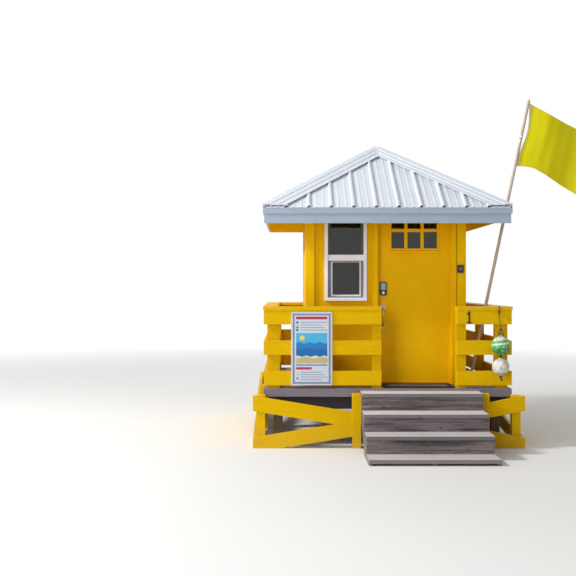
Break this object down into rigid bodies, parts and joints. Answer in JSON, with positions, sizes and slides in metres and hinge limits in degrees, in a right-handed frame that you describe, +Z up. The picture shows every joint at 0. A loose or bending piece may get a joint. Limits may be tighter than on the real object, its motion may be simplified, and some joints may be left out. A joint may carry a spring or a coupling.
{
  "type": "lifeguard tower",
  "caption": "Small beach lifeguard tower: a yellow board hut with a hinged door under a ribbed metal hip roof, on a low railed timber deck with steps, V-shaped skirt braces and a flag.",
  "frame": {"origin": "on the ground, under the post in the middle of the deck", "axes": "+X to the right along the front, +Y from the steps to the back, +Z up"},
  "size_m": [3.9461, 3.847, 3.7317],
  "materials": {
    "yellow_paint": "satin yellow paint",
    "deck_timber": "weathered grey paint",
    "frame_timber": "bare weathered timber",
    "rafter_timber": "bare timber",
    "roof_metal": "satin off-white coating",
    "fascia_paint": "satin light grey paint",
    "door_paint": "satin yellow paint",
    "window_white": "satin",
    "glass": "clear, reflective",
    "hardware_black": "satin black",
    "hinge_steel": "brushed",
    "galvanised": "dull galvanised",
    "sign_face": "satin print",
    "bell_black": "gloss black",
    "mat": "ribbed black",
    "rope": "twisted rope",
    "float_green": "worn plastic",
    "float_white": "worn plastic",
    "pole_wood": "clear varnish",
    "flag_cloth": "woven nylon"
  },
  "bodies": {
    "tower": {"deck_posts": "frame_timber", "deck_frame": "deck_timber", "deck_boards": "deck_timber", "stair_stringers": "deck_timber", "stair_risers": "deck_timber", "stair_treads": "deck_timber", "brace_posts": "yellow_paint", "brace_boards": "yellow_paint", "rail_posts": "yellow_paint", "rail_front_left": "yellow_paint", "rail_front_right": "yellow_paint", "rail_left": "yellow_paint", "rail_right": "yellow_paint", "rail_back": "yellow_paint", "rail_caps": "yellow_paint", "rail_fittings": "galvanised", "front_wall_left": "yellow_paint", "front_wall_right": "yellow_paint", "front_wall_over_door": "yellow_paint", "side_walls": "yellow_paint", "back_wall": "yellow_paint", "corner_boards": "yellow_paint", "door_frame": "yellow_paint", "hinge_frame_leaves": "hinge_steel", "window_frame": "window_white", "window_sashes": "window_white", "window_glass": "glass", "roof_rafters": "rafter_timber", "roof_lining": "yellow_paint", "roof_sheets": "roof_metal", "hip_caps": "roof_metal", "fascia": "fascia_paint", "sign_board": "sign_face", "door_bell": "bell_black", "door_mat": "mat", "float_rope": "rope", "float_upper": "float_green", "float_lower": "float_white", "flag_pole": "pole_wood", "flag": "flag_cloth"},
    "door": {"door": "door_paint", "door_glass": "glass", "door_lock": "hardware_black", "door_handle": "hardware_black", "hinge_door_leaves": "hinge_steel"}
  },
  "joints": [
    {"name": "door_hinge", "type": "hinge", "parent": "tower", "child": "door", "pos_m": [0.7405, -0.768, 1.587], "axis": [0, 0, -1], "range_deg": [0, 90]}
  ]
}
